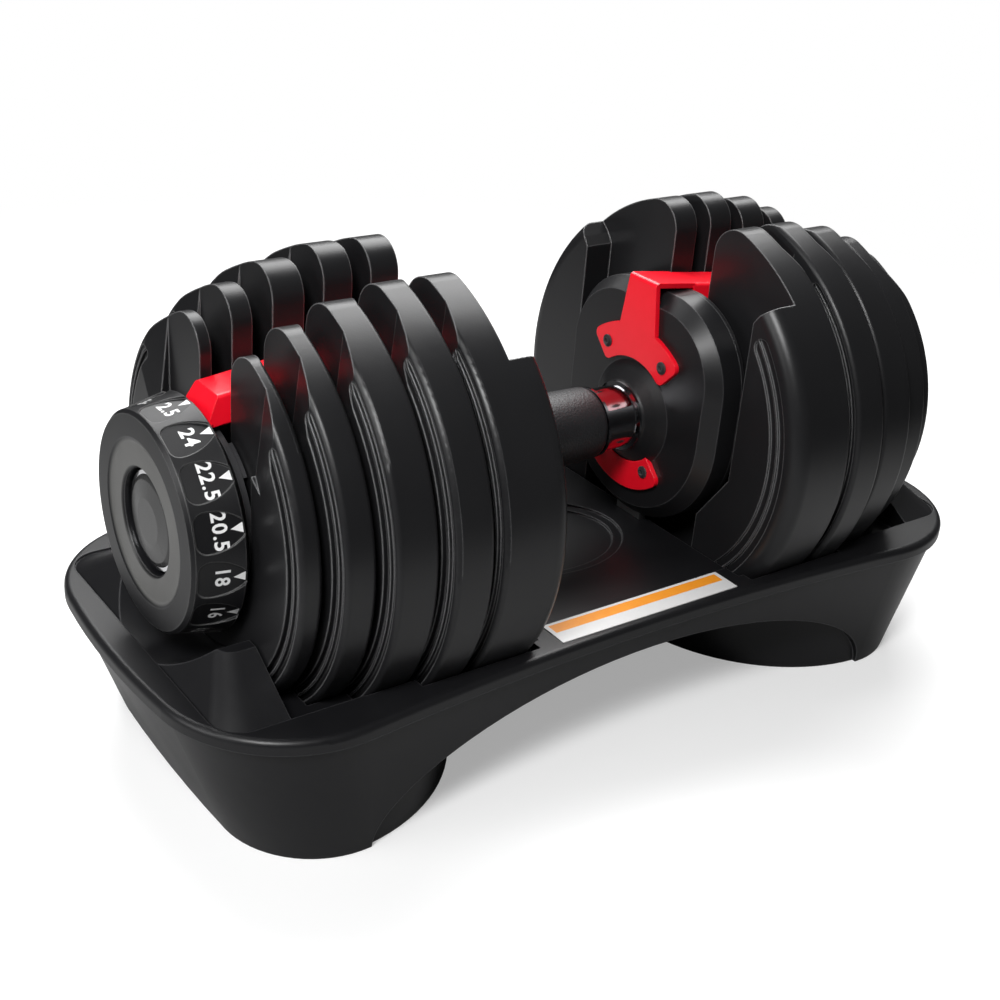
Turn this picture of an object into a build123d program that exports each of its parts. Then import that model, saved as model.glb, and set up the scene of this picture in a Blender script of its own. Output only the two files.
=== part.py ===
from build123d import *
import os
from math import asin, atan, cos, degrees, radians, sin, sqrt

# Adjustable dumbbell in its tray. Millimetres, +Z up, X along the handle.
# The origin is on the floor, under the middle of the handle.
os.makedirs("parts", exist_ok=True)

# ---- driving dimensions ----
axis_height = 125.0          # handle axis above the floor
running_gap = 0.05           # radial clearance of a piece that turns on another
seat_gap = 0.3               # between moving pieces that rest side by side

# weight plates, numbered from the handle outward
plate_radius = [102.5, 102.5, 98.0, 91.0, 82.0]
plate_thickness = [20.0, 21.5, 22.5, 17.0, 13.0]
plate_gap = 1.5              # between neighbouring plates
first_plate_start = 80.0     # inner face of the first plate's web
body_depth = 16.0            # thick halves of the first plate, toward the handle
body_round = 8.0             # rounded outer edge of those halves
body_half_gap = 61.0         # half the space between the two halves
body_foot_gap = 43.0         # the same space near the tray
body_turn, body_foot_top = 14.0, 40.0    # it narrows between these heights below the axis
body_top = 78.0              # top of the halves above the axis
body_corner = 6.5            # cut-off corners at their tops
body_groove_width = 9.0      # ribbed groove in the half on the front side
body_groove_inset = 1.5
body_groove_start, body_groove_end = 48.0, 136.0     # degrees from the top
slot_half_width = 14.0       # open slot over the handle
horn_round = 14.0            # rounded tips beside the slot
wing_half_width = 43.5       # half width of the recess for a selector disc
ramp_length = 18.0           # the rim slopes down to that recess over this length
ramp_reach = 30.0            # how far the slope reaches in from the rim
disc_recess = 6.2            # depth of that recess in the outer face
inner_recess = 1.4           # depth of the matching recess in the inner face
bevel_rise = 10.0            # radial width of the bevel along the rim
bevel_depth = 2.2            # how much thinner the rim is on each face
rim_round = 2.2              # rounded edges of the rim
track_inset = 2.6            # rim to the outer edge of the groove in the bevel
track_width = 6.4
track_rib = 1.2              # rib left along the middle of the groove
track_depth = 1.2
track_side = 61.0            # the groove starts this far from the middle of the plate
track_end = 142.0            # and ends this many degrees from the top, on both sides

# selector: discs on a tube, with partial flanges that pass under the plates' hooks
settings = 15
# plates carried at each setting, from the lightest to the heaviest
picks = ["", "5", "4", "45", "3", "35", "2", "25", "24", "23",
         "12", "124", "123", "1234", "12345"]
disc_radius = 41.0
disc_web = 2.5
flange_inner, flange_outer = 36.0, 39.5
flange_height = 2.6
axial_gap = 0.5              # disc to plate, each side
hook_inner = 29.0
hook_gap = 0.6               # flange to hook
hook_half_width = 5.0
hub_radius = 15.0
key_width, key_height = 3.0, 1.6
selector_tube_radius = 11.0
shaft_radius = 8.0

# dial
dial_width = 22.0
dial_gap = 0.8               # bridge to the dial
dial_back_radius, dial_front_radius = 51.0, 46.8
dial_edge_round = 1.6
dial_dish_radius = 35.0
dial_dish_depth = 1.0
dial_bore = 22.7
dial_web = 4.5
pocket_depth = 1.3
pocket_margin = 2.3          # front edge of the dial to the wide end of a pocket
pocket_wide, pocket_narrow = 17.0, 5.5
pocket_round = 4.5
cap_radius = 19.6
cap_setback = 2.2            # outer face of the cap, in from the dial's face
cap_edge = 2.2               # height of its rounded edge
cap_wall = 2.6
ring_thickness = 1.6
ring_width = 4.0

# inner disc, a housing for the lock
disc_front, disc_back = 52.0, 70.0
housing_half_width = 55.0
housing_top_half_width = 17.0
housing_shoulder = 22.0      # height of the straight sides above the axis
housing_bevel = 6.5
housing_front_wall = 4.5
cover_thickness = 2.0
boss_start, boss_radius, boss_foot_radius = 44.5, 18.0, 27.0

# lock: a notched wheel that turns with the dial, and a sliding plate with one tooth
wheel_start, wheel_thickness = 58.2, 4.0
wheel_radius = 24.0
notch_depth, notch_width = 4.6, 5.0
lock_travel = 4.5
lock_clear = 0.8             # tooth above the wheel when the dumbbell is in the tray
lock_half_width = 31.0
lock_top = 38.0
tooth_width = 4.0
tail_half_width = 9.0
tail_drop = 2.6              # tail below the housing
guide_width = 3.0
spring_radius, spring_wire, spring_turns = 3.0, 1.0, 7

# grip
grip_radius, grip_half_length = 17.7, 24.0
handle_tube_radius = 13.0
collar_radius, collar_ring_radius, collar_ring_width = 15.6, 17.3, 1.4

# red bridge and lower clamp
strap_thickness = 2.5
bracket_inner, bracket_outer, bracket_half_angle = 29.0, 46.0, 43.0
clamp_inner, clamp_outer, clamp_half_angle = 21.0, 39.0, 45.0
bracket_screw_radius, clamp_screw_radius, screw_angle = 37.5, 30.3, 33.0
strap_low_half_width, strap_high_half_width = 13.4, 9.8
bar_top, bar_end_top = 70.5, 53.5        # top of the bar above the axis, inner and outer
strap_round = 2.2                        # outside of the bend into the bar
bar_half_width, bar_depth = 12.6, 11.5   # it widens downward, inside the plates' slots
bar_wall, bar_round = 2.4, 2.0
bar_slant = 6.0                          # its end face leans back by this much
end_plate_half_width = 13.0
end_plate_ring = 17.0
screw_radius, screw_head_radius, screw_head_height, screw_length = 2.0, 3.1, 1.3, 5.0

# ends of the shaft
washer_radius, washer_thickness = 18.5, 1.5
bolt_head_radius, bolt_head_height, bolt_radius, bolt_length = 6.5, 5.0, 4.0, 18.0
plunger_radius, ball_radius = 2.5, 1.5
plunger_distance = 16.5      # from the axis
plunger_stop = 0.8           # end of the sleeve to the wheel
plunger_skin = 0.8           # left of the inner disc's wall in front of the sleeve
dimple_radius, dimple_depth = 1.3, 0.5

# tray
rim_height = 70.0
rim_beyond_plates = 6.0      # corners stand out this far past the largest plates
waist_inside_plates = 10.0   # and the waist lies this far inside them
rim_beyond_dial = 18.0
end_bow = 14.0               # the ends bow out past the corners
lip_height = 6.5
lip_overhang = 2.5
lip_round = 3.0
corner_round = 60.0
foot_inside_corner = 14.5    # the skirt tapers in by this much at the sides
foot_inside_end = 27.5       # and by this much at the ends
foot_bow = 5.0
foot_round = 44.0
arch_half_span, arch_height = 148.0, 53.0
foot_wall_radius, foot_wall_center = 90.0, 157.0     # round inner wall of each foot
foot_waist = 6.0             # the foot's side is this much narrower at its middle
floor_drop = 7.5             # lowered floor beside the plates, below the rim
deck_half_length, deck_half_width = 58.0, 72.0
pocket_half_width = 81.0
pocket_inside_rim = 14.0     # rim to the end of the lowered floor
pocket_corner = 14.0
well_play, well_end_play = 0.8, 0.9       # well to the end faces of the plates
tub_wall = 3.0
stop_half_width = 72.0       # wall between the deck and the well, under the lock plate
oval_half_length, oval_half_width, oval_depth = 46.0, 36.0, 2.4
oval_ring = 5.0
saddle_height = 86.0         # end block that rises under the dial
saddle_scoop_gap = 8.0       # dial to the scoop under it
saddle_top_length, saddle_top_half_width = 15.0, 50.0
saddle_top_corner = 8.0
saddle_edge = 1.5            # its foot lies this far below the rim
deck_thickness = 4.0
rib_thickness = 2.5
foot_recess, foot_rim = 2.0, 6.0
label_length, label_width, label_thickness = 104.0, 15.5, 0.4

# ---- values worked out from the dimensions ----
step_angle = 360.0 / settings
plate_start = [first_plate_start]
for thickness in plate_thickness[:-1]:
    plate_start.append(plate_start[-1] + thickness + plate_gap)
plate_end = [start + thickness for start, thickness in zip(plate_start, plate_thickness)]
stack_end = plate_end[-1]
body_start = first_plate_start - body_depth
well_start, well_end = body_start - well_play, stack_end + well_end_play
end_plate_start = stack_end + 1.2
end_plate_end = end_plate_start + strap_thickness
dial_start = end_plate_end + dial_gap
dial_end = dial_start + dial_width
cap_end = dial_end - cap_setback
cover_back = disc_back + cover_thickness
strap_start = disc_front - strap_thickness
bar_slope = (bar_top - bar_end_top) / (end_plate_end - strap_start)
bar_side_start = cover_back + 1.5        # behind the housing the bar gets its sides
housing_top = bar_top - bar_slope * (cover_back - strap_start) - strap_thickness - seat_gap
tube_start = wheel_start - 0.7
tube_end = dial_start + dial_web
shaft_end = tube_end + running_gap
cap_start = shaft_end + washer_thickness
lock_bottom = -housing_half_width - tail_drop
deck_height = axis_height + lock_bottom - seat_gap      # the deck pushes the lock plates up
floor_height = rim_height - floor_drop
saddle_scoop = dial_back_radius + saddle_scoop_gap
waist_half_width = max(plate_radius) - waist_inside_plates
corner_half_width = max(plate_radius) + rim_beyond_plates
end_half_length = dial_end + rim_beyond_dial
corner_half_length = end_half_length - end_bow
foot_half_width = corner_half_width - foot_inside_corner
foot_half_length = end_half_length - foot_inside_end
foot_corner_length = foot_half_length - foot_bow
pocket_end = end_half_length - pocket_inside_rim


# ---- small helpers ----
def prism(outline, start, end):
    """Outline in Y and Z round the handle axis, pulled along X."""
    return extrude(Plane.YZ.offset(start) * outline, end - start)


def drum(radius, start, end):
    return prism(Circle(radius), start, end)


def turned(points):
    """Closed profile of (x, radius) points, turned round the handle axis."""
    return revolve(make_face(Polyline(*points, close=True)), Axis.X)


def ring_sector(inner, outer, middle, half_angle):
    """Part of a ring in Y and Z. Angles in degrees from +Z toward -Y."""
    first, last = middle - half_angle, middle + half_angle
    edges = Curve() + [
        ThreePointArc(polar(outer, first), polar(outer, middle), polar(outer, last)),
        Line(polar(outer, last), polar(inner, last)),
        ThreePointArc(polar(inner, last), polar(inner, middle), polar(inner, first)),
        Line(polar(inner, first), polar(outer, first)),
    ]
    return make_face(edges)


def polar(radius, angle):
    """Y and Z of a spot round the axis, degrees from +Z toward -Y."""
    return (-radius * sin(radians(angle)), radius * cos(radians(angle)))


def opened_up(half_width, height):
    """A round opening that runs on upward with straight sides."""
    return Circle(half_width) + Pos(0, height / 2) * Rectangle(2 * half_width, height)


# ---- weight plates ----
def plate_outline(radius):
    outline = Circle(radius) - opened_up(slot_half_width, radius + 10)
    tips = [v for v in outline.vertices() if v.Y > slot_half_width]
    return fillet(tips, horn_round)


def plate_blank(number):
    """Turned blank with both rims bevelled, cut to the outline with its slot."""
    start, end, radius = plate_start[number], plate_end[number], plate_radius[number]
    inner_bevel = bevel_depth if number else 0.0
    profile = [(start, 0), (start, radius - bevel_rise), (start + inner_bevel, radius),
               (end - bevel_depth, radius), (end, radius - bevel_rise), (end, 0)]
    if not number:
        del profile[1]
    face = make_face(Polyline(*profile, close=True))
    rim = [v for v in face.vertices() if v.Y > radius - 0.1 and v.X > start]
    blank = revolve(fillet(rim, rim_round), Axis.X)
    outside = Circle(radius + 5) - plate_outline(radius)
    return blank - prism(outside, start - 1, end + 1)


def ribbed_groove(outer, width, start, end):
    """Outline of a groove with round ends and a rib along its middle, on the front side."""
    middle, half = (start + end) / 2, (end - start) / 2
    groove = ring_sector(outer - width, outer, middle, half)
    groove = fillet(groove.vertices(), width * 0.45)
    rib_outer = outer - (width - track_rib) / 2
    return groove - ring_sector(rib_outer - track_rib, rib_outer, middle, half + 10)


def track(radius, face, outward):
    """Ribbed groove in the bevel of one face, on both sides of the plate."""
    start = degrees(asin(track_side / radius))
    depth = track_depth + bevel_depth * (bevel_rise - track_inset) / bevel_rise
    near, far = sorted((face - outward * depth, face + outward))
    groove = ribbed_groove(radius - track_inset, track_width, start, track_end)
    return prism(groove + mirror(groove, Plane.YZ), near, far)


def tip_ramps(number):
    """Cuts that let the rim slope down to the disc's recess beside the tips."""
    radius, across = plate_radius[number], wing_half_width / plate_radius[number]
    up = sqrt(1 - across ** 2)
    rise = (disc_recess - bevel_depth) / ramp_length
    plane = Plane(origin=(plate_end[number] - disc_recess, -radius * across, radius * up),
                  x_dir=(rise, -up, -across), z_dir=(1, rise * up, rise * across))
    ramp = plane * Box(disc_recess / rise + 5, 2 * ramp_reach, 2 * disc_recess,
                       align=(Align.MIN, Align.CENTER, Align.MIN))
    return ramp + mirror(ramp, Plane.XZ)


def half_bodies():
    """The two thick halves of the first plate, beside the inner disc."""
    radius, start = plate_radius[0], body_start
    face_radius = radius - body_round
    slope = body_round * (1 - 1 / sqrt(2))
    profile = Curve() + [
        Line((first_plate_start, 0), (start, 0)),
        Line((start, 0), (start, face_radius)),
        ThreePointArc((start, face_radius), (start + slope, radius - slope),
                      (start + body_round, radius)),
        Line((start + body_round, radius), (first_plate_start, radius)),
        Line((first_plate_start, radius), (first_plate_start, 0)),
    ]
    blank = revolve(make_face(profile), Axis.X)
    corner_y, corner_z = body_top - body_corner - 1, body_top - 2 * body_corner + 1
    side = [(body_half_gap + body_corner + 5, body_top),
            (body_half_gap + body_corner / 2, corner_y), (body_half_gap, corner_z),
            (body_half_gap, -body_turn), (body_foot_gap, -body_foot_top),
            (body_foot_gap, -radius), (2 * radius, -radius), (2 * radius, body_top)]
    outline = make_face(Polyline(*side, close=True))
    outline += mirror(outline, Plane.YZ)
    halves = blank & prism(outline, start, first_plate_start)
    groove = ribbed_groove(face_radius - body_groove_inset, body_groove_width,
                           body_groove_start, body_groove_end)
    return halves - prism(groove, start - 1, start + track_depth)


def hook(number):
    """Tab in the recess that the selector flange passes under."""
    web = plate_end[number] - disc_recess
    half = degrees(hook_half_width / flange_inner)
    shape = ring_sector(hook_inner, flange_inner - hook_gap, 180, half)
    return prism(shape, web - 0.5, web + flange_height)


def plate(number):
    start, end, radius = plate_start[number], plate_end[number], plate_radius[number]
    solid = plate_blank(number)
    recess = opened_up(wing_half_width, radius + 10)
    solid -= prism(recess, end - disc_recess, end + 1)
    solid -= tip_ramps(number)
    if number:
        solid -= prism(recess, start - 1, start + inner_recess)
        solid -= track(radius, start, -1)
    else:
        solid += half_bodies()
    solid -= track(radius, end, 1)
    solid += hook(number)
    return solid


# ---- selector ----
def key(start, end, clearance):
    """Key along the selector tube, on the side toward the floor."""
    height = 2 * (selector_tube_radius + key_height + clearance)
    shape = Rectangle(key_width + 2 * clearance, height)
    lower = Pos(0, -height / 2) * Rectangle(2 * height, height)
    return prism(shape & lower, start, end)


def keyed_bore(start, end):
    return drum(selector_tube_radius + running_gap, start, end) + key(start, end, running_gap)


def selector_tube():
    tube = drum(selector_tube_radius, tube_start, tube_end)
    tube += key(tube_start, end_plate_start - 0.5, 0) + key(dial_start, tube_end, 0)
    return tube - drum(shaft_radius + running_gap, tube_start, tube_end)


def chosen_runs(number):
    """Runs of neighbouring settings that carry this plate, as (first, count)."""
    chosen = [str(number + 1) in pick for pick in picks]
    runs = []
    for index in range(settings):
        if chosen[index] and not chosen[index - 1]:
            count = 1
            while chosen[(index + count) % settings]:
                count += 1
            runs.append((index, count))
    return runs


def selector_disc(number):
    back = plate_end[number] - disc_recess + axial_gap
    front = back + flange_height + disc_web
    disc = drum(disc_radius, front - disc_web, front)
    disc += drum(hub_radius, back, front)
    for first, count in chosen_runs(number):
        middle = step_angle * (settings - 1 - first - (count - 1) / 2) + 180
        flange = ring_sector(flange_inner, flange_outer, middle, step_angle * count / 2)
        disc += prism(flange, back, front)
    return disc - keyed_bore(back - 1, front + 1)


def index_wheel():
    end = wheel_start + wheel_thickness
    outline = Circle(wheel_radius)
    notch = Pos(0, wheel_radius - notch_depth / 2 + 1) * Rectangle(notch_width, notch_depth + 2)
    for index in range(settings):
        outline -= Rot(0, 0, index * step_angle) * notch
    wheel = prism(outline, wheel_start, end)
    dimple = drum(dimple_radius, wheel_start - 1, wheel_start + dimple_depth)
    for index in range(settings):
        y, z = polar(plunger_distance, index * step_angle + step_angle / 2)
        wheel -= Pos(0, y, z) * dimple
    return wheel - keyed_bore(wheel_start - 1, end + 1)


# ---- dial ----
def pocket_outline():
    """Pocket seen from outside the dial: X along the handle, Y round the rim."""
    front = dial_end - pocket_margin
    wide, narrow, back = pocket_wide / 2, pocket_narrow / 2, dial_start - 2
    middle = (front + dial_start) / 2
    bulge = wide - 0.6
    edges = Curve() + [
        Line((front, -wide + 1), (front, wide - 1)),
        ThreePointArc((front, wide - 1), (middle, bulge), (dial_start, narrow)),
        Line((dial_start, narrow), (back, narrow - 1)),
        Line((back, narrow - 1), (back, 1 - narrow)),
        Line((back, 1 - narrow), (dial_start, -narrow)),
        ThreePointArc((dial_start, -narrow), (middle, -bulge), (front, 1 - wide)),
    ]
    face = make_face(edges)
    corners = [v for v in face.vertices() if v.X > front - 0.1]
    return fillet(corners, pocket_round)


def dial():
    front_face = dial_end - dial_dish_depth
    width = dial_end - dial_start
    body = turned([
        (dial_start, dial_bore), (dial_start, dial_back_radius - 1),
        (dial_start + 1, dial_back_radius), (dial_end - dial_edge_round, dial_front_radius),
        (dial_end, dial_front_radius - dial_edge_round), (dial_end, dial_dish_radius + 0.8),
        (front_face, dial_dish_radius - 1.5), (front_face, dial_bore + 1),
        (front_face - 1, dial_bore)])
    body += drum(dial_bore + 1, dial_start, tube_end)
    slope = (dial_back_radius - dial_front_radius) / width
    tilt = degrees(atan(slope))
    middle = (dial_start + dial_end) / 2
    depth_radius = (dial_back_radius + dial_front_radius) / 2 - pocket_depth
    tool = extrude(Pos(-middle, 0) * pocket_outline(), 10)
    tool = Pos(middle, 0, depth_radius) * Rot(0, tilt, 0) * tool
    for index in range(settings):
        body -= Rot(index * step_angle, 0, 0) * tool
    return body - keyed_bore(dial_start - 1, tube_end + 1)


def end_cap():
    """Snap-on cap over the end bolt, slightly domed."""
    cap = turned([
        (cap_start, 0), (cap_start, cap_radius), (cap_end - cap_edge, cap_radius),
        (cap_end - 0.9, cap_radius - 2), (cap_end, cap_radius * 0.5), (cap_end, 0)])
    return cap - drum(cap_radius - cap_wall, cap_start, cap_end - cap_wall)


def end_ring():
    start = cap_end - cap_edge - ring_width
    outer = cap_radius + running_gap + ring_thickness
    return drum(outer, start, start + ring_width) - drum(cap_radius + running_gap, start, cap_end)


def end_washer():
    start = shaft_end
    washer = drum(washer_radius, start, start + washer_thickness)
    return washer - drum(bolt_radius + running_gap, start, start + washer_thickness)


def end_bolt():
    start = shaft_end + washer_thickness
    head = drum(bolt_head_radius, start, start + bolt_head_height)
    head -= prism(RegularPolygon(3.4, 6), start + bolt_head_height - 3, start + bolt_head_height)
    return head + drum(bolt_radius, start - bolt_length, start)


# ---- handle ----
def handle_shaft():
    shaft = drum(shaft_radius, -shaft_end, shaft_end)
    depth = bolt_length - washer_thickness + 1
    hole = drum(bolt_radius + running_gap, shaft_end - depth, shaft_end)
    return shaft - hole - mirror(hole, Plane.YZ)


def handle_tube():
    tube = drum(handle_tube_radius, -boss_start, boss_start)
    return tube - drum(shaft_radius + running_gap, -boss_start, boss_start)


def grip():
    """Rubber sleeve, a little thicker in the middle, with rounded ends."""
    half, radius = grip_half_length, grip_radius
    profile = Curve() + [
        Line((-half, handle_tube_radius + running_gap), (-half, radius - 1.8)),
        ThreePointArc((-half, radius - 1.8), (1.1 - half, radius - 0.6), (2.5 - half, radius)),
        ThreePointArc((2.5 - half, radius), (0, radius + 0.5), (half - 2.5, radius)),
        ThreePointArc((half - 2.5, radius), (half - 1.1, radius - 0.6), (half, radius - 1.8)),
        Line((half, radius - 1.8), (half, handle_tube_radius + running_gap)),
        Line((half, handle_tube_radius + running_gap), (-half, handle_tube_radius + running_gap)),
    ]
    return revolve(make_face(profile), Axis.X)


def collar():
    start, end = grip_half_length, boss_start
    ring = collar_ring_width
    inner = handle_tube_radius + running_gap
    return turned([
        (start, inner), (start, collar_ring_radius), (start + ring, collar_ring_radius),
        (start + ring + 0.8, collar_radius), (end - ring - 0.8, collar_radius),
        (end - ring, collar_ring_radius), (end, collar_ring_radius), (end, inner)])


# ---- inner disc with the lock ----
def housing_outline(inset):
    """Egg shape round the axis: round below, straight sides, narrowing to a flat top."""
    half, top = housing_half_width - inset, housing_top - inset
    crown = housing_top_half_width - inset * 0.3
    shoulder = housing_shoulder
    bulge_y = half * 0.5 + crown * 0.5 + 7
    bulge_z = (shoulder + top) / 2 + 9
    edges = Curve() + [
        ThreePointArc((-half, 0), (0, -half), (half, 0)),
        Line((half, 0), (half, shoulder)),
        ThreePointArc((half, shoulder), (bulge_y, bulge_z), (crown, top)),
        Line((crown, top), (-crown, top)),
        ThreePointArc((-crown, top), (-bulge_y, bulge_z), (-half, shoulder)),
        Line((-half, shoulder), (-half, 0)),
    ]
    return make_face(edges)


def screw_spots():
    """Y and Z of the bracket's two screws and the lower clamp's two."""
    return [polar(bracket_screw_radius, screw_angle), polar(bracket_screw_radius, -screw_angle),
            polar(clamp_screw_radius, 180 - screw_angle),
            polar(clamp_screw_radius, 180 + screw_angle)]


def inner_disc():
    front, back = disc_front, disc_back
    bevel_end = front + housing_bevel
    shell = loft([Plane.YZ.offset(front) * housing_outline(housing_bevel),
                  Plane.YZ.offset(bevel_end) * housing_outline(0)], ruled=True)
    shell += prism(housing_outline(0), bevel_end, back)
    cavity_start = front + housing_front_wall
    cavity = prism(housing_outline(housing_bevel), cavity_start, back)
    shell -= cavity
    shell += turned([(front + 1, handle_tube_radius), (front, boss_foot_radius),
                     (front - 3, boss_foot_radius - 4), (boss_start + 1, boss_radius),
                     (boss_start, boss_radius - 1), (boss_start, shaft_radius),
                     (front + 1, shaft_radius)])
    guide = Pos(lock_half_width + seat_gap + guide_width / 2, 2) * Rectangle(guide_width, 50)
    shell += prism(guide + mirror(guide, Plane.YZ), cavity_start - 1, back)
    shell -= drum(shaft_radius + running_gap, boss_start - 1, front + 10)
    for y, z in screw_spots():
        shell -= prism(Pos(y, z) * Circle(screw_radius + running_gap), front - 1, back)
    y, z = polar(plunger_distance, step_angle / 2)
    shell -= prism(Pos(y, z) * Circle(plunger_radius + running_gap), front + plunger_skin, back)
    tail_way = Pos(0, -housing_half_width) * Rectangle(2 * tail_half_width + 0.6, 30)
    return shell - prism(tail_way, wheel_start - seat_gap,
                         wheel_start + wheel_thickness + seat_gap)


def housing_cover():
    cover = prism(housing_outline(0), disc_back, cover_back)
    hole = selector_tube_radius + key_height + seat_gap
    return cover - drum(hole, disc_back - 1, cover_back + 1)


def lock_plate():
    """Sliding frame round the index wheel, with a tooth at the top and a tail below."""
    tooth_tip = wheel_radius + lock_clear
    hole_top = wheel_radius + lock_travel + 1.5
    hole_bottom = wheel_radius + 1.0
    frame = Pos(0, (lock_top - 34) / 2) * RectangleRounded(2 * lock_half_width, lock_top + 34, 6)
    hole_height = hole_top + hole_bottom
    hole = Pos(0, (hole_top - hole_bottom) / 2) * RectangleRounded(
        2 * wheel_radius + 2.4, hole_height, 12)
    frame -= hole
    tooth_height = hole_top + 1 - tooth_tip
    frame += Pos(0, tooth_tip + tooth_height / 2) * Rectangle(tooth_width, tooth_height)
    tail_height = -30 - lock_bottom
    frame += Pos(0, lock_bottom + tail_height / 2) * Rectangle(2 * tail_half_width, tail_height)
    return prism(frame, wheel_start, wheel_start + wheel_thickness)


def lock_spring():
    """Coil of square wire between the lock plate and the top of the housing."""
    bottom = lock_top + seat_gap
    top = housing_top - housing_bevel - seat_gap
    height = top - bottom - spring_wire
    path = Helix(height / spring_turns, height, spring_radius)
    wire = Plane(origin=path @ 0, z_dir=path % 0) * Rectangle(spring_wire, spring_wire)
    coil = sweep(wire, path, is_frenet=True)
    return Pos(wheel_start + wheel_thickness / 2, 0, bottom + spring_wire / 2) * coil


def click_plunger():
    """Small sleeve with the ball that clicks over the wheel's dimples."""
    y, z = polar(plunger_distance, step_angle / 2)
    end = wheel_start - plunger_stop
    start = disc_front + plunger_skin
    hollow = drum(ball_radius + running_gap, end - 2 * ball_radius, end)
    sleeve = drum(plunger_radius, start, end) - hollow
    ball = Pos(wheel_start - seat_gap - ball_radius, 0, 0) * Sphere(ball_radius)
    return Pos(0, y, z) * Compound([sleeve.solid(), ball.solid()])


# ---- red bridge, lower clamp and screws ----
def bar_outline(inset, top, bottom):
    """Section of the bar, or of the channel in it, down from the bar's top line."""
    high, low = strap_high_half_width - inset, bar_half_width - inset
    return make_face(Polyline((-high, -top), (high, -top), (low, -bottom), (-low, -bottom),
                              close=True))


def sloping(outline, start, end):
    """Outline in Y and Z below the bar's top line, pulled along the bar."""
    run = end - start
    top = bar_top - bar_slope * (start - strap_start)
    return extrude(Plane.YZ.offset(start) * Pos(0, top) * outline,
                   run * sqrt(1 + bar_slope ** 2), dir=(1, 0, -bar_slope))


def bar():
    """Hollow bar, open below, with a closed end that leans back."""
    outline = bar_outline(0, 0, bar_depth)
    upper = [v for v in outline.vertices() if v.Y > -0.1]
    solid = sloping(fillet(upper, bar_round), bar_side_start, end_plate_end)
    solid -= sloping(bar_outline(bar_wall, strap_thickness, bar_depth + 1),
                     bar_side_start - 1, end_plate_start - bar_slant)
    web = Pos(0, -strap_thickness / 2) * Rectangle(2 * strap_high_half_width, strap_thickness)
    web = sloping(web, strap_start, bar_side_start + 1)
    bend = web.edges().filter_by(Axis.Y).sort_by(lambda e: e.center().Z - e.center().X)[-1]
    return solid + fillet(bend, strap_round)


def bridge():
    bracket = ring_sector(bracket_inner, bracket_outer, 0, bracket_half_angle)
    bracket = fillet(bracket.vertices(), 3.5)
    strap_top = bar_top - strap_round
    strap = make_face(Polyline(
        (-strap_low_half_width, bracket_outer - 4), (strap_low_half_width, bracket_outer - 4),
        (strap_high_half_width, strap_top), (-strap_high_half_width, strap_top), close=True))
    shape = prism(bracket + strap, strap_start, disc_front) + bar()
    end_bottom = bar_end_top - bar_depth
    lug = Pos(0, end_bottom / 2 + 1) * Rectangle(2 * end_plate_half_width, end_bottom + 2)
    shape += prism(lug + Circle(end_plate_ring), end_plate_start, end_plate_end)
    lean = bar_slant / bar_depth
    wedge = make_face(Polyline(
        (end_plate_end + lean * 5, end_bottom - 5), (end_plate_end + lean * 5, bar_end_top + 5),
        (end_plate_end - bar_slant - lean * 5, bar_end_top + 5), close=True))
    shape -= extrude(Plane.XZ * wedge, 2 * bar_half_width, both=True)
    shape -= drum(selector_tube_radius + running_gap, end_plate_start - 1, end_plate_end + 1)
    for y, z in screw_spots()[:2]:
        shape -= prism(Pos(y, z) * Circle(screw_radius + running_gap), strap_start - 1,
                       disc_front + 1)
    return shape


def lower_clamp():
    start, end = strap_start, disc_front
    clamp = ring_sector(clamp_inner, clamp_outer, 180, clamp_half_angle)
    clamp = fillet(clamp.vertices(), 3.5)
    plate_solid = prism(clamp, start, end)
    plate_solid -= turned([(end + 1, 0), (end + 1, boss_foot_radius + seat_gap + 1),
                           (end - 4, boss_foot_radius - 4.5), (end - 4, 0)])
    for y, z in screw_spots()[2:]:
        plate_solid -= prism(Pos(y, z) * Circle(screw_radius + running_gap), start - 1, end + 1)
    return plate_solid


def bracket_screws():
    """Four button-head screws with a hexagon socket."""
    seat = strap_start
    head = turned([(seat, 0), (seat, screw_head_radius), (seat - 0.6, screw_head_radius),
                   (seat - screw_head_height, screw_head_radius * 0.55),
                   (seat - screw_head_height, 0)])
    head -= prism(RegularPolygon(1.4, 6), seat - screw_head_height, seat - 0.5)
    screw = head + drum(screw_radius, seat, seat + strap_thickness + screw_length - 0.7)
    return Compound([(Pos(0, y, z) * screw).solid() for y, z in screw_spots()])


# ---- tray ----
def tray_outline(waist, corner_width, corner_length, end_length, rounding):
    """Plan of the tray: narrower in the middle, bowed ends, round corners."""
    edges = Curve() + [
        ThreePointArc((-corner_length, -corner_width), (0, -waist), (corner_length, -corner_width)),
        ThreePointArc((corner_length, -corner_width), (end_length, 0), (corner_length, corner_width)),
        ThreePointArc((corner_length, corner_width), (0, waist), (-corner_length, corner_width)),
        ThreePointArc((-corner_length, corner_width), (-end_length, 0),
                      (-corner_length, -corner_width)),
    ]
    face = make_face(edges)
    return fillet(face.vertices(), rounding)


def rim_outline(inset):
    return tray_outline(waist_half_width - inset, corner_half_width - inset,
                        corner_half_length - inset, end_half_length - inset,
                        corner_round - inset)


def tray_shell():
    """Outer body: tapered skirt under a rolled lip."""
    lip_bottom = rim_height - lip_height
    base = tray_outline(foot_half_width - foot_waist, foot_half_width, foot_corner_length,
                        foot_half_length, foot_round)
    skirt = loft([base, Plane.XY.offset(lip_bottom) * rim_outline(lip_overhang)], ruled=True)
    lip = extrude(Plane.XY.offset(lip_bottom) * rim_outline(0), lip_height)
    lip = fillet(lip.faces().sort_by(Axis.Z)[-1].edges(), lip_round)
    return skirt + lip


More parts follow.
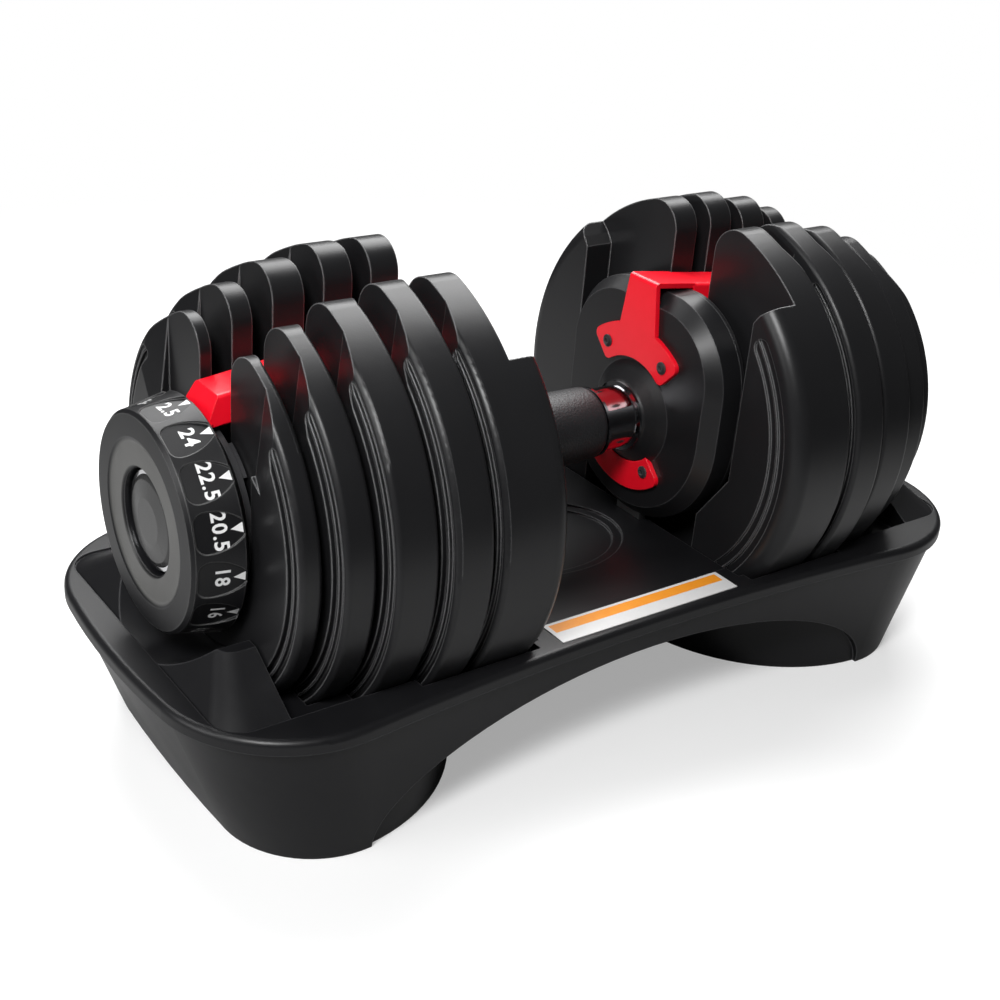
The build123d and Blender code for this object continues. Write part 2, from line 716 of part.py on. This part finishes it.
def arch_void():
    """Space under the tray: an arch along X, ending at a round wall at each foot."""
    arch = Ellipse(arch_half_span, arch_height) & Pos(0, arch_height) * Rectangle(
        3 * arch_half_span, 2 * arch_height)
    void = extrude(Plane.XZ * arch, corner_half_width + 10, both=True)
    for side in (-1, 1):
        wall = Pos(side * foot_wall_center, 0, arch_height / 2) * Cylinder(
            foot_wall_radius, arch_height + 4)
        void -= wall
    return void


def deck_underside():
    """Moulded hollow under the middle deck, with ribs left in it."""
    low, high = arch_height - 12, deck_height - oval_depth - deck_thickness
    length, width = deck_half_length - 3.0, deck_half_width + 8
    hollow = Pos(0, 0, (low + high) / 2) * Box(2 * length, 2 * width, high - low)
    ribs = Part() + [Pos(x, 0, 50) * Box(rib_thickness, 2 * width, 60) for x in (-28, 0, 28)]
    ribs += [Pos(0, y, 50) * Box(2 * length, rib_thickness, 60) for y in (-40, 0, 40)]
    return hollow - ribs


def wells():
    """Stepped well for the plates of the right side, and the tub round it."""
    well, tub = Part(), Part()
    for number in range(5):
        start = plate_start[number] - plate_gap / 2
        end = plate_end[number] + plate_gap / 2
        if number == 0:
            start = well_start
        if number == 4:
            end = well_end
        well += drum(plate_radius[number] + seat_gap, start, end)
        if number == 0:
            tub += drum(plate_radius[number] + seat_gap + tub_wall, start - tub_wall, end)
    return Pos(0, 0, axis_height) * well, Pos(0, 0, axis_height) * tub


def pocket_plan(start):
    """Space inside the rim at the right end, from the given place outward."""
    length = pocket_end - start
    plan = Pos(start + length / 2, 0) * Rectangle(length, 2 * pocket_half_width)
    far = [v for v in plan.vertices() if v.X > start + 5]
    return fillet(far, pocket_corner)


def saddle():
    """Raised end block that fills the end inside the rim, with a scoop for the dial."""
    start, foot_top = well_end, rim_height - saddle_edge
    foot = pocket_plan(start)
    top = Pos(start + saddle_top_length / 2, 0) * Rectangle(
        saddle_top_length, 2 * saddle_top_half_width)
    far = [v for v in top.vertices() if v.X > start + 5]
    block = extrude(Plane.XY.offset(floor_height - 1) * foot, foot_top - floor_height + 1)
    block += loft([Plane.XY.offset(foot_top) * foot,
                   Plane.XY.offset(saddle_height) * fillet(far, saddle_top_corner)], ruled=True)
    return block - Pos(0, 0, axis_height) * drum(saddle_scoop, start - 1, pocket_end + 1)


def end_floor():
    """Lowered floor inside the rim at the right end."""
    return extrude(Plane.XY.offset(floor_height) * pocket_plan(deck_half_length + 2), 20)


def stop_wall():
    """Inner wall of the well, the stop that pushes the lock plate up."""
    start, end = deck_half_length, well_start
    low = floor_height - 4
    outline = Pos(0, (low + deck_height) / 2) * Rectangle(2 * stop_half_width, deck_height - low)
    return prism(outline, start, end)


def tray():
    solid = tray_shell() - arch_void() - deck_underside()
    well, tub = wells()
    tub &= Pos(0, 0, (floor_height + foot_recess) / 2) * Box(
        2 * end_half_length, 2 * corner_half_width, floor_height - foot_recess)
    saddle_block, floor, wall = saddle(), end_floor(), stop_wall()
    for flip in (False, True):
        def turn(shape):
            return mirror(shape, Plane.YZ) if flip else shape

        solid += turn(tub)
        solid -= turn(floor)
        solid += turn(saddle_block)
        solid += turn(wall)
        solid -= turn(well)
    deck = Box(2 * (well_start), 2 * deck_half_width, 20)
    deck = fillet(deck.edges().filter_by(Axis.Z), 6)
    solid -= Pos(0, 0, deck_height + 10) * deck
    oval = Ellipse(oval_half_length, oval_half_width)
    inner_oval = Ellipse(oval_half_length - oval_ring, oval_half_width - oval_ring)
    solid -= extrude(Plane.XY.offset(deck_height - oval_depth / 2) * oval, 5)
    solid -= extrude(Plane.XY.offset(deck_height - oval_depth) * inner_oval, 5)
    return solid - foot_recesses()


def foot_recesses():
    """Shallow recess under each foot, so that it stands on its edge."""
    inset = foot_rim
    plan = tray_outline(foot_half_width - foot_waist - inset, foot_half_width - inset,
                        foot_corner_length - inset, foot_half_length - inset,
                        foot_round - inset)
    shape = plan - Rectangle(2 * (arch_half_span + inset), 2 * corner_half_width)
    for side in (-1, 1):
        shape += plan & (Pos(side * foot_wall_center, 0) * Circle(foot_wall_radius - inset))
    return extrude(shape, foot_recess)


def tray_label():
    y = -waist_half_width + lip_round + 1 + label_width / 2
    return Pos(0, y, rim_height + label_thickness / 2) * Box(
        label_length, label_width, label_thickness)


# ---- write every node ----
def write(name, shape):
    export_step(shape, f"parts/{name}.step")


def write_pair(name, shape):
    """A piece of the right side, and its mirror image on the left."""
    raised = Pos(0, 0, axis_height) * shape
    write(name.format("right"), raised)
    write(name.format("left"), mirror(raised, Plane.YZ))


write("tray", tray())
write("tray_label", tray_label())
write("handle_shaft", Pos(0, 0, axis_height) * handle_shaft())
write("handle_tube", Pos(0, 0, axis_height) * handle_tube())
write("grip", Pos(0, 0, axis_height) * grip())
for number in range(5):
    write_pair(f"plate_{{}}_{number + 1}", plate(number))
    write_pair(f"selector_disc_{{}}_{number + 1}", selector_disc(number))
write_pair("collar_{}", collar())
write_pair("inner_disc_{}", inner_disc())
write_pair("housing_cover_{}", housing_cover())
write_pair("bridge_{}", bridge())
write_pair("lower_clamp_{}", lower_clamp())
write_pair("bracket_screws_{}", bracket_screws())
write_pair("selector_tube_{}", selector_tube())
write_pair("index_wheel_{}", index_wheel())
write_pair("lock_plate_{}", lock_plate())
write_pair("lock_spring_{}", lock_spring())
write_pair("click_plunger_{}", click_plunger())
write_pair("dial_{}", dial())
write_pair("end_cap_{}", end_cap())
write_pair("end_ring_{}", end_ring())
write_pair("end_washer_{}", end_washer())
write_pair("end_bolt_{}", end_bolt())
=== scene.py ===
import bpy
from math import atan, cos, radians, sin
from mathutils import Matrix, Quaternion, Vector


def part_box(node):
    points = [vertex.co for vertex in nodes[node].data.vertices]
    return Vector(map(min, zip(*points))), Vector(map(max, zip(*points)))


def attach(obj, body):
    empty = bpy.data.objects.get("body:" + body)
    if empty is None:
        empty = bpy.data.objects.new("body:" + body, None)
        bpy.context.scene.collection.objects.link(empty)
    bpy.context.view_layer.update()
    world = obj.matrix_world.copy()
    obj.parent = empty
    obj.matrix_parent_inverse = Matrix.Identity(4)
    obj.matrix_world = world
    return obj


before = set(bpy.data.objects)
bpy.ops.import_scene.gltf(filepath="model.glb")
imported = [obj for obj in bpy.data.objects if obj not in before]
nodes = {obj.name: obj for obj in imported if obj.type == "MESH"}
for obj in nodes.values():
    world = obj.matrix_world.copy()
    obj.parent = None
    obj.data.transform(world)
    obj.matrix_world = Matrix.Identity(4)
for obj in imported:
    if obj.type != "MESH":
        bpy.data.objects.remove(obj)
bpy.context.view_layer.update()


# ---- Storage tray ----
# A deep tray of satin black plastic that the dumbbell stands in. It is moulded in
# one piece with a rolled rim, an arch below and a raised block at each end. Its
# edges are painted paler than its faces, partly as handling wear and partly as painted highlight.
cloud_scale, cloud_detail = 22, 4
# How far edges are painted toward the pale colour, partly wear and partly painted highlight.
flat_turn, sharp_turn, most_wear_and_highlight = 0.99, 0.88, 0.8
grain_strength, grain_height = 0.25, 0.0001
gloss_below, gloss_above = 0.06, 0.08
plastic_shine = 0.36


def new_finish(name):
    """A new material with its node tree and its shader."""
    material = bpy.data.materials.new(name)
    material.use_nodes = True
    tree = material.node_tree
    return material, tree, tree.nodes["Principled BSDF"]


def noise(tree, scale, detail=2, stretch=None):
    """Cloudy values over the piece's own place, stretched along it if asked."""
    place = tree.nodes.new("ShaderNodeTexCoord").outputs["Object"]
    if stretch:
        mapping = tree.nodes.new("ShaderNodeMapping")
        mapping.inputs["Scale"].default_value = stretch
        tree.links.new(place, mapping.inputs["Vector"])
        place = mapping.outputs["Vector"]
    clouds = tree.nodes.new("ShaderNodeTexNoise")
    clouds.inputs["Scale"].default_value = scale
    clouds.inputs["Detail"].default_value = detail
    tree.links.new(place, clouds.inputs["Vector"])
    return clouds.outputs["Fac"]


def mixed(tree, factor, first, second):
    """A colour between two, each given as three numbers or as a socket."""
    mix = tree.nodes.new("ShaderNodeMix")
    mix.data_type = "RGBA"
    tree.links.new(factor, mix.inputs["Factor"])
    for name, colour in (("A", first), ("B", second)):
        if isinstance(colour, bpy.types.NodeSocket):
            tree.links.new(colour, mix.inputs[name])
        else:
            mix.inputs[name].default_value = (*colour, 1)
    return mix.outputs["Result"]


def graded(tree, value, start, end=(0, 1), kind="LINEAR"):
    """A value carried from one range to another and held at its ends."""
    grade = tree.nodes.new("ShaderNodeMapRange")
    grade.interpolation_type = kind
    grade.inputs["From Min"].default_value, grade.inputs["From Max"].default_value = start
    grade.inputs["To Min"].default_value, grade.inputs["To Max"].default_value = end
    tree.links.new(value, grade.inputs["Value"])
    return grade.outputs["Result"]


def softened(tree, radius):
    """Normals that round the edges over, as a mould or a thick coat does."""
    bevel = tree.nodes.new("ShaderNodeBevel")
    bevel.samples = 4
    bevel.inputs["Radius"].default_value = radius
    return bevel.outputs["Normal"]


def raised(tree, height, strength, distance, normal=None):
    """Normals of a fine relief, over the normals given."""
    bump = tree.nodes.new("ShaderNodeBump")
    bump.inputs["Strength"].default_value = strength
    bump.inputs["Distance"].default_value = distance
    tree.links.new(height, bump.inputs["Height"])
    if normal:
        tree.links.new(normal, bump.inputs["Normal"])
    return bump.outputs["Normal"]


def moulded_black(name, dark, light, wear_and_highlight_colour, roughness, grain, edge):
    """Moulded plastic: cloudy tone, fine grain, soft edges painted paler as wear and as painted
    highlight.
    """
    material, tree, shader = new_finish(name)
    clouds = noise(tree, cloud_scale, cloud_detail)
    tone = mixed(tree, clouds, dark, light)
    rounded = softened(tree, edge)
    facing = tree.nodes.new("ShaderNodeNewGeometry")
    turn = tree.nodes.new("ShaderNodeVectorMath")
    turn.operation = "DOT_PRODUCT"
    tree.links.new(rounded, turn.inputs[0])
    tree.links.new(facing.outputs["Normal"], turn.inputs[1])
    # Edges are mixed toward the pale edge colour, partly as handling wear and partly as painted
    # highlight along the rounded edges.
    at_edge = graded(tree, turn.outputs["Value"], (flat_turn, sharp_turn), (0, most_wear_and_highlight))
    tree.links.new(mixed(tree, at_edge, tone, wear_and_highlight_colour), shader.inputs["Base Color"])
    relief = raised(tree, noise(tree, grain), grain_strength, grain_height, rounded)
    tree.links.new(relief, shader.inputs["Normal"])
    gloss = graded(tree, clouds, (0, 1), (roughness - gloss_below, roughness + gloss_above))
    tree.links.new(gloss, shader.inputs["Roughness"])
    shader.inputs["Specular IOR Level"].default_value = plastic_shine
    return material


def finish_nodes(names, material):
    """Give each named CAD node the finish and no other."""
    for name in names:
        mesh = nodes[name].data
        mesh.materials.clear()
        mesh.materials.append(material)


finish_nodes(["tray"], moulded_black(
    "satin black tray plastic", (0.006, 0.006, 0.007), (0.010, 0.010, 0.011),
    (0.10, 0.10, 0.105), roughness=0.36, grain=1500, edge=0.0010))


# ---- Strip on the front rim ----
# A thin vinyl strip stuck on the rim's flat top. It is white with a plain orange
# band along its inner edge and nothing printed on it.
band_inset, band_half_width, band_end_gap = 0.0046, 0.0031, 0.0022
strip_ink_scale = 350
strip_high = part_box("tray_label")[1]
strip_vinyl, tree, shader = new_finish("white vinyl with an orange band")
part = tree.nodes.new("ShaderNodeSeparateXYZ")
place = tree.nodes.new("ShaderNodeTexCoord")
tree.links.new(place.outputs["Object"], part.inputs["Vector"])
on_band = tree.nodes.new("ShaderNodeMath")
on_band.operation = "MULTIPLY"
for order, (axis, middle, reach) in enumerate([
        ("Y", strip_high.y - band_inset, band_half_width),
        ("X", 0, strip_high.x - band_end_gap)]):
    within = tree.nodes.new("ShaderNodeMath")
    within.operation = "COMPARE"
    within.inputs[1].default_value = middle
    within.inputs[2].default_value = reach
    tree.links.new(part.outputs[axis], within.inputs[0])
    tree.links.new(within.outputs["Value"], on_band.inputs[order])
ink = noise(tree, strip_ink_scale)
orange = mixed(tree, ink, (0.80, 0.26, 0.012), (0.84, 0.32, 0.020))
white = mixed(tree, ink, (0.62, 0.62, 0.616), (0.67, 0.67, 0.666))
tree.links.new(mixed(tree, on_band.outputs["Value"], white, orange), shader.inputs["Base Color"])
shader.inputs["Roughness"].default_value = 0.42
finish_nodes(["tray_label"], strip_vinyl)


# ---- Steel shaft, tube, washers and bolts ----
# Turned steel bar with a tube over it, closed at each end by a washer and a
# socket bolt. The lock's plates, springs and balls are the same bright steel.
mark_width, mark_detail = 60, 5
mark_strength, mark_depth = 0.12, 0.00005
mark_shade = 0.75
polish_below, polish_above = 0.05, 0.12


def turned_steel(name, colour, roughness, streak):
    """Steel with fine marks round its length, from turning or drawing."""
    material, tree, shader = new_finish(name)
    marks = noise(tree, 1, mark_detail, (streak, mark_width, mark_width))
    tone = mixed(tree, marks, [level * mark_shade for level in colour], colour)
    tree.links.new(tone, shader.inputs["Base Color"])
    shader.inputs["Metallic"].default_value = 1
    polish = graded(tree, marks, (0, 1), (roughness - polish_below, roughness + polish_above))
    tree.links.new(polish, shader.inputs["Roughness"])
    tree.links.new(raised(tree, marks, mark_strength, mark_depth), shader.inputs["Normal"])
    return material


sides = {"left": -1, "right": 1}
finish_nodes(["handle_shaft", "handle_tube", "end_washer_left", "end_washer_right"],
             turned_steel("turned shaft steel", (0.56, 0.56, 0.57), roughness=0.3, streak=2600))
finish_nodes([f"{name}_{side}" for side in sides for name in ("end_bolt", "click_plunger")],
             turned_steel("bright screw steel", (0.62, 0.62, 0.64), roughness=0.22, streak=900))
finish_nodes([f"{name}_{side}" for side in sides for name in ("lock_spring", "lock_plate")],
             turned_steel("drawn spring steel", (0.5, 0.5, 0.5), roughness=0.34, streak=400))


# ---- Inner discs ----
# Egg-shaped plastic housings at both ends of the grip. Each is moulded in satin
# black with a bevelled edge, holds the lock, and is closed by a cover.
finish_nodes([f"{name}_{side}" for side in sides for name in ("inner_disc", "housing_cover")],
             moulded_black("satin black disc plastic", (0.007, 0.007, 0.008),
                           (0.011, 0.011, 0.012), (0.12, 0.12, 0.125),
                           roughness=0.38, grain=1700, edge=0.0008))


# ---- Red bridges and clamps ----
# Pressed and folded steel under a thick, bright red gloss coat. Each bridge runs
# from the screws beside the grip up and over the plates to the dial.
coat_edge = 0.0008
peel_scale, peel_strength, peel_depth = 160, 0.12, 0.0002
red_coat, tree, shader = new_finish("bright red gloss coat")
flow = noise(tree, peel_scale)
tree.links.new(mixed(tree, flow, (0.92, 0.004, 0.016), (0.98, 0.006, 0.024)),
               shader.inputs["Base Color"])
tree.links.new(raised(tree, flow, peel_strength, peel_depth, softened(tree, coat_edge)),
               shader.inputs["Normal"])
shader.inputs["Roughness"].default_value = 0.34
shader.inputs["Specular IOR Level"].default_value = 0.3
shader.inputs["Coat Weight"].default_value = 0.3
shader.inputs["Coat Roughness"].default_value = 0.12
finish_nodes([f"{name}_{side}" for side in sides for name in ("bridge", "lower_clamp")], red_coat)
finish_nodes([f"bracket_screws_{side}" for side in sides], moulded_black(
    "blackened screws", (0.02, 0.02, 0.022), (0.035, 0.035, 0.037), (0.2, 0.2, 0.2),
    roughness=0.3, grain=900, edge=0.0003))


# ---- Grip ----
# Moulded rubber sleeve on the tube. Its skin has a fine pebbled texture that
# keeps a damp hand from slipping.
pebble_scale, pebble_strength, pebble_height = 900, 0.5, 0.00025
rubber_cloud_scale, rubber_cloud_detail = 90, 4
grip_rubber, tree, shader = new_finish("pebbled grip rubber")
place = tree.nodes.new("ShaderNodeTexCoord")
pebbles = tree.nodes.new("ShaderNodeTexVoronoi")
pebbles.inputs["Scale"].default_value = pebble_scale
tree.links.new(place.outputs["Object"], pebbles.inputs["Vector"])
tree.links.new(raised(tree, pebbles.outputs["Distance"], pebble_strength, pebble_height),
               shader.inputs["Normal"])
rubber_clouds = noise(tree, rubber_cloud_scale, rubber_cloud_detail)
tree.links.new(mixed(tree, rubber_clouds, (0.009, 0.009, 0.010), (0.019, 0.019, 0.021)),
               shader.inputs["Base Color"])
shader.inputs["Roughness"].default_value = 0.5
finish_nodes(["grip"], grip_rubber)


# ---- Collars ----
# Polished collars between the grip and the inner discs, dark chrome with a
# raised ring at each end.
haze_scale, haze_detail = 120, 3
haze_shade, haze_roughness = 0.85, 0.1


def chromed(name, colour, roughness):
    """Chrome plate: mirror bright, with faint cloudy haze from handling."""
    material, tree, shader = new_finish(name)
    haze = noise(tree, haze_scale, haze_detail)
    tree.links.new(graded(tree, haze, (0, 1), (roughness, roughness + haze_roughness)),
                   shader.inputs["Roughness"])
    tree.links.new(mixed(tree, haze, [level * haze_shade for level in colour], colour),
                   shader.inputs["Base Color"])
    shader.inputs["Metallic"].default_value = 1
    return material


finish_nodes(["collar_left", "collar_right"],
             chromed("dark chrome", (0.42, 0.42, 0.44), roughness=0.08))


# ---- Weight plates ----
# Steel weights in a moulded skin of satin black plastic, five on each side. The
# rim is bevelled, with a ribbed groove, and two rounded tips stand beside the slot.
plate_numbers = range(1, 6)
# The pale edge colour here is mostly painted highlight along the rounded edges, with some wear.
finish_nodes([f"plate_{side}_{number}" for side in sides for number in plate_numbers],
             moulded_black("satin black plate skin", (0.009, 0.009, 0.010),
                           (0.014, 0.014, 0.015), (0.26, 0.26, 0.265),
                           roughness=0.33, grain=1300, edge=0.0010))


# ---- Selectors ----
# Nylon discs on a tube that the dial turns, with flanges that catch the plates
# to be lifted, and a notched wheel that the lock holds.
selector_nylon = moulded_black(
    "dark grey nylon", (0.028, 0.028, 0.030), (0.040, 0.040, 0.043), (0.09, 0.09, 0.09),
    roughness=0.45, grain=1200, edge=0.0004)
finish_nodes([f"{name}_{side}" for side in sides for name in ("selector_tube", "index_wheel")],
             selector_nylon)
finish_nodes([f"selector_disc_{side}_{number}" for side in sides for number in plate_numbers],
             selector_nylon)


# ---- Dials ----
# Satin black plastic dials with a lighter dished face. Each has fifteen pockets
# round its rim, with a printed number and a white triangle in each.
axis_height = 0.125
dish_radius, dish_blur = 0.0345, 0.0006
lip_inner, lip_outer = 0.0231, 0.0241
dish_cloud_scale, dish_cloud_detail = 60, 4
dial_plastic = moulded_black(
    "satin black dial plastic", (0.004, 0.004, 0.005), (0.008, 0.008, 0.009),
    (0.16, 0.16, 0.16), roughness=0.36, grain=1600, edge=0.0008)
tree = dial_plastic.node_tree
shader = tree.nodes["Principled BSDF"]
place = tree.nodes.new("ShaderNodeTexCoord")
from_axis = tree.nodes.new("ShaderNodeVectorMath")
from_axis.operation = "MULTIPLY_ADD"
from_axis.inputs[1].default_value = (0, 1, 1)
from_axis.inputs[2].default_value = (0, 0, -axis_height)
tree.links.new(place.outputs["Object"], from_axis.inputs[0])
radius = tree.nodes.new("ShaderNodeVectorMath")
radius.operation = "LENGTH"
tree.links.new(from_axis.outputs["Vector"], radius.inputs[0])
inside_dish = graded(tree, radius.outputs["Value"],
                     (dish_radius + dish_blur, dish_radius - dish_blur))
outside_lip = graded(tree, radius.outputs["Value"], (lip_inner, lip_outer))
in_dish = tree.nodes.new("ShaderNodeMath")
in_dish.operation = "MULTIPLY"
tree.links.new(inside_dish, in_dish.inputs[0])
tree.links.new(outside_lip, in_dish.inputs[1])
grey = mixed(tree, noise(tree, dish_cloud_scale, dish_cloud_detail),
             (0.075, 0.075, 0.072), (0.120, 0.119, 0.115))
black = shader.inputs["Base Color"].links[0].from_socket
tree.links.new(mixed(tree, in_dish.outputs["Value"], black, grey), shader.inputs["Base Color"])
finish_nodes(["dial_left", "dial_right"], dial_plastic)

ink_speckle_scale = 900
white_ink, tree, shader = new_finish("white printed ink")
speckle = noise(tree, ink_speckle_scale)
tree.links.new(mixed(tree, speckle, (0.78, 0.78, 0.78), (0.90, 0.90, 0.90)),
               shader.inputs["Base Color"])
shader.inputs["Roughness"].default_value = 0.45

# The numbers run round from the top toward the front, as kilograms carried.
numbers = ["2.5", "24", "22.5", "20.5", "18", "16", "13.5", "11.5", "10", "9", "8", "7",
           "5.5", "4.5", "3.5"]
number_turn = radians(360 / len(numbers))
pocket_middle, pocket_radius = 0.1955, 0.0476
pocket_rise, pocket_run = 0.0042, 0.022
pocket_tilt = atan(pocket_rise / pocket_run)
ink_lift = 0.00003
digit_height, digit_foot = 0.0062, 0.1972
digit_boldness, digit_spacing, digit_smoothness = 0.024, 1.12, 3
tip_place, base_place, base_width = 0.1899, 0.1850, 0.0042


def number_model(text):
    """Bold number as a flat mesh, its foot on X and its middle at zero."""
    bpy.ops.object.select_all(action="DESELECT")
    bpy.ops.object.text_add(location=(0, 0, 0))
    letters = bpy.context.object.data
    letters.body = text
    letters.align_x = "CENTER"
    letters.offset = digit_boldness
    letters.resolution_u = digit_smoothness
    letters.space_character = digit_spacing
    bpy.ops.object.convert(target="MESH")
    shape = bpy.context.object
    across = [vertex.co.x for vertex in shape.data.vertices]
    upward = [vertex.co.y for vertex in shape.data.vertices]
    size = digit_height / (max(upward) - min(upward))
    shape.data.transform(Matrix.Scale(size, 4) @ Matrix.Translation(
        (-(min(across) + max(across)) / 2, -min(upward), 0)))
    return shape


def triangle_model():
    """Flat triangle above the number, its tip toward the number's head."""
    base, tip = digit_foot - base_place, digit_foot - tip_place
    bpy.ops.object.select_all(action="DESELECT")
    bpy.ops.mesh.primitive_plane_add(size=base_width, location=(0, 0, 0))
    shape = bpy.context.object
    for part in (*shape.data.polygons, *shape.data.edges):
        part.select = False
    for vertex in shape.data.vertices:
        vertex.select = vertex.co.y < 0
    bpy.ops.object.mode_set(mode="EDIT")
    bpy.ops.mesh.merge(type="CENTER")
    bpy.ops.object.mode_set(mode="OBJECT")
    shape.data.transform(Matrix.Translation((0, (base + tip) / 2, 0))
                         @ Matrix.Diagonal((1, (base - tip) / base_width, 1, 1)))
    return shape


number_models = [number_model(text) for text in numbers]
triangle = triangle_model()
for side, sign in sides.items():
    up = Vector((-sign * cos(pocket_tilt), 0, sin(pocket_tilt)))
    out = Vector((sign * sin(pocket_tilt), 0, cos(pocket_tilt)))
    reading = up.cross(out)
    foot = Vector((sign * pocket_middle, 0, pocket_radius)) - up * (digit_foot - pocket_middle)
    onto_pocket = Matrix((reading, up, out)).transposed().to_4x4()
    onto_pocket.translation = foot + out * ink_lift
    bpy.ops.object.select_all(action="DESELECT")
    for index, number in enumerate(number_models):
        turn = Matrix.Rotation(number_turn * index, 4, "X")
        spot = Matrix.Translation((0, 0, axis_height)) @ turn @ onto_pocket
        for model in (number, triangle):
            mark = model.copy()
            mark.data = model.data.copy()
            bpy.context.scene.collection.objects.link(mark)
            mark.data.transform(spot)
            mark.select_set(True)
            bpy.context.view_layer.objects.active = mark
    bpy.ops.object.join()
    printed_marks = bpy.context.object
    printed_marks.name = f"dial_numbers_{side}"
    printed_marks.data.materials.clear()
    printed_marks.data.materials.append(white_ink)
    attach(printed_marks, f"dial_{side}")
for model in (*number_models, triangle):
    bpy.data.objects.remove(model)


# ---- End caps ----
# Gloss black plastic caps that snap over the end bolts in the middle of the
# dials. Each sits inside a bright chromed ring.
finish_nodes(["end_cap_left", "end_cap_right"], moulded_black(
    "gloss black cap plastic", (0.035, 0.035, 0.035), (0.050, 0.050, 0.050),
    (0.08, 0.08, 0.08), roughness=0.24, grain=900, edge=0.0006))
finish_nodes(["end_ring_left", "end_ring_right"],
             chromed("bright chrome", (0.85, 0.85, 0.87), roughness=0.06))


# ---- Floor, light and camera ----
# A pale studio floor and backdrop with large soft lamps, and the camera at
# standing height off the near left corner of the tray.
floor_size, floor_drop = 8, 0.0003
paper_to_lamps, paper_in_view = (0.40, 0.40, 0.40), (0.66, 0.66, 0.66)
paper_own_light = 0.36
shadow_reach, white_from = 0.35, 0.85
room_light = 0.10


def seen_directly(tree):
    """One for what the camera sees, also through clear things, and else nought."""
    path = tree.nodes.new("ShaderNodeLightPath")
    either = tree.nodes.new("ShaderNodeMath")
    either.operation = "MAXIMUM"
    tree.links.new(path.outputs["Is Camera Ray"], either.inputs[0])
    tree.links.new(path.outputs["Is Transmission Ray"], either.inputs[1])
    return either.outputs["Value"]


bpy.ops.object.select_all(action="DESELECT")
bpy.ops.mesh.primitive_plane_add(size=floor_size, location=(0, 0, -floor_drop))
floor = bpy.context.object
floor.name = "studio_floor"
paper = bpy.data.materials.new("white studio paper")
paper.use_nodes = True
tree = paper.node_tree
tree.nodes.clear()
seen = seen_directly(tree)
lit = tree.nodes.new("ShaderNodeBsdfDiffuse")
tree.links.new(mixed(tree, seen, paper_to_lamps, paper_in_view), lit.inputs["Color"])
own_level = tree.nodes.new("ShaderNodeMath")
own_level.operation = "MULTIPLY"
own_level.inputs[1].default_value = paper_own_light
tree.links.new(seen, own_level.inputs[0])
own = tree.nodes.new("ShaderNodeEmission")
tree.links.new(own_level.outputs["Value"], own.inputs["Strength"])
near = tree.nodes.new("ShaderNodeAddShader")
tree.links.new(lit.outputs["BSDF"], near.inputs[0])
tree.links.new(own.outputs["Emission"], near.inputs[1])
bright = tree.nodes.new("ShaderNodeEmission")
tree.links.new(seen, bright.inputs["Strength"])
place = tree.nodes.new("ShaderNodeTexCoord")
distance = tree.nodes.new("ShaderNodeVectorMath")
distance.operation = "LENGTH"
tree.links.new(place.outputs["Object"], distance.inputs[0])
far = graded(tree, distance.outputs["Value"], (shadow_reach, white_from), kind="SMOOTHSTEP")
both = tree.nodes.new("ShaderNodeMixShader")
tree.links.new(far, both.inputs["Fac"])
tree.links.new(near.outputs["Shader"], both.inputs[1])
tree.links.new(bright.outputs["Emission"], both.inputs[2])
paper_out = tree.nodes.new("ShaderNodeOutputMaterial")
tree.links.new(both.outputs["Shader"], paper_out.inputs["Surface"])
floor.data.materials.append(paper)

world = bpy.data.worlds.new("studio")
bpy.context.scene.world = world
world.use_nodes = True
tree = world.node_tree
tree.nodes.clear()
room = tree.nodes.new("ShaderNodeBackground")
room.inputs["Strength"].default_value = room_light
backdrop = tree.nodes.new("ShaderNodeBackground")
backdrop.inputs["Color"].default_value = (1, 1, 1, 1)
around = tree.nodes.new("ShaderNodeMixShader")
tree.links.new(seen_directly(tree), around.inputs["Fac"])
tree.links.new(room.outputs["Background"], around.inputs[1])
tree.links.new(backdrop.outputs["Background"], around.inputs[2])
world_out = tree.nodes.new("ShaderNodeOutputWorld")
tree.links.new(around.outputs["Shader"], world_out.inputs["Surface"])

for name, spot, aim, width, height, power in [
        ("overhead_lamp", (0.40, 0.70, 1.20), (0, 0, 0.1), 1.5, 0.9, 34),
        ("left_lamp", (-1.45, 0.1, 0.75), (-0.1, 0, 0.12), 0.8, 0.8, 8),
        ("front_lamp", (-0.75, -0.55, 1.05), (0.05, 0, 0.12), 0.35, 0.35, 14)]:
    lamp_data = bpy.data.lights.new(name, "AREA")
    lamp_data.shape = "RECTANGLE"
    lamp_data.size = width
    lamp_data.size_y = height
    lamp_data.energy = power
    lamp = bpy.data.objects.new(name, lamp_data)
    lamp.location = spot
    lamp.rotation_mode = "QUATERNION"
    lamp.rotation_quaternion = (Vector(aim) - Vector(spot)).to_track_quat("-Z", "Y")
    bpy.context.scene.collection.objects.link(lamp)

camera_place, camera_aim = Vector((-0.4227, -0.5180, 0.4202)), Vector((-0.0161, 0.0120, 0.0862))
camera_roll = radians(4.77)
camera_data = bpy.data.cameras.new("camera")
camera = bpy.data.objects.new("camera", camera_data)
bpy.context.scene.collection.objects.link(camera)
bpy.context.scene.camera = camera
camera_data.lens = 54.8
camera_data.sensor_width = 36
camera.location = camera_place
camera.rotation_mode = "QUATERNION"
camera.rotation_quaternion = ((camera_aim - camera_place).to_track_quat("-Z", "Y")
                              @ Quaternion((0, 0, 1), camera_roll))
bpy.context.scene.view_settings.view_transform = "Standard"
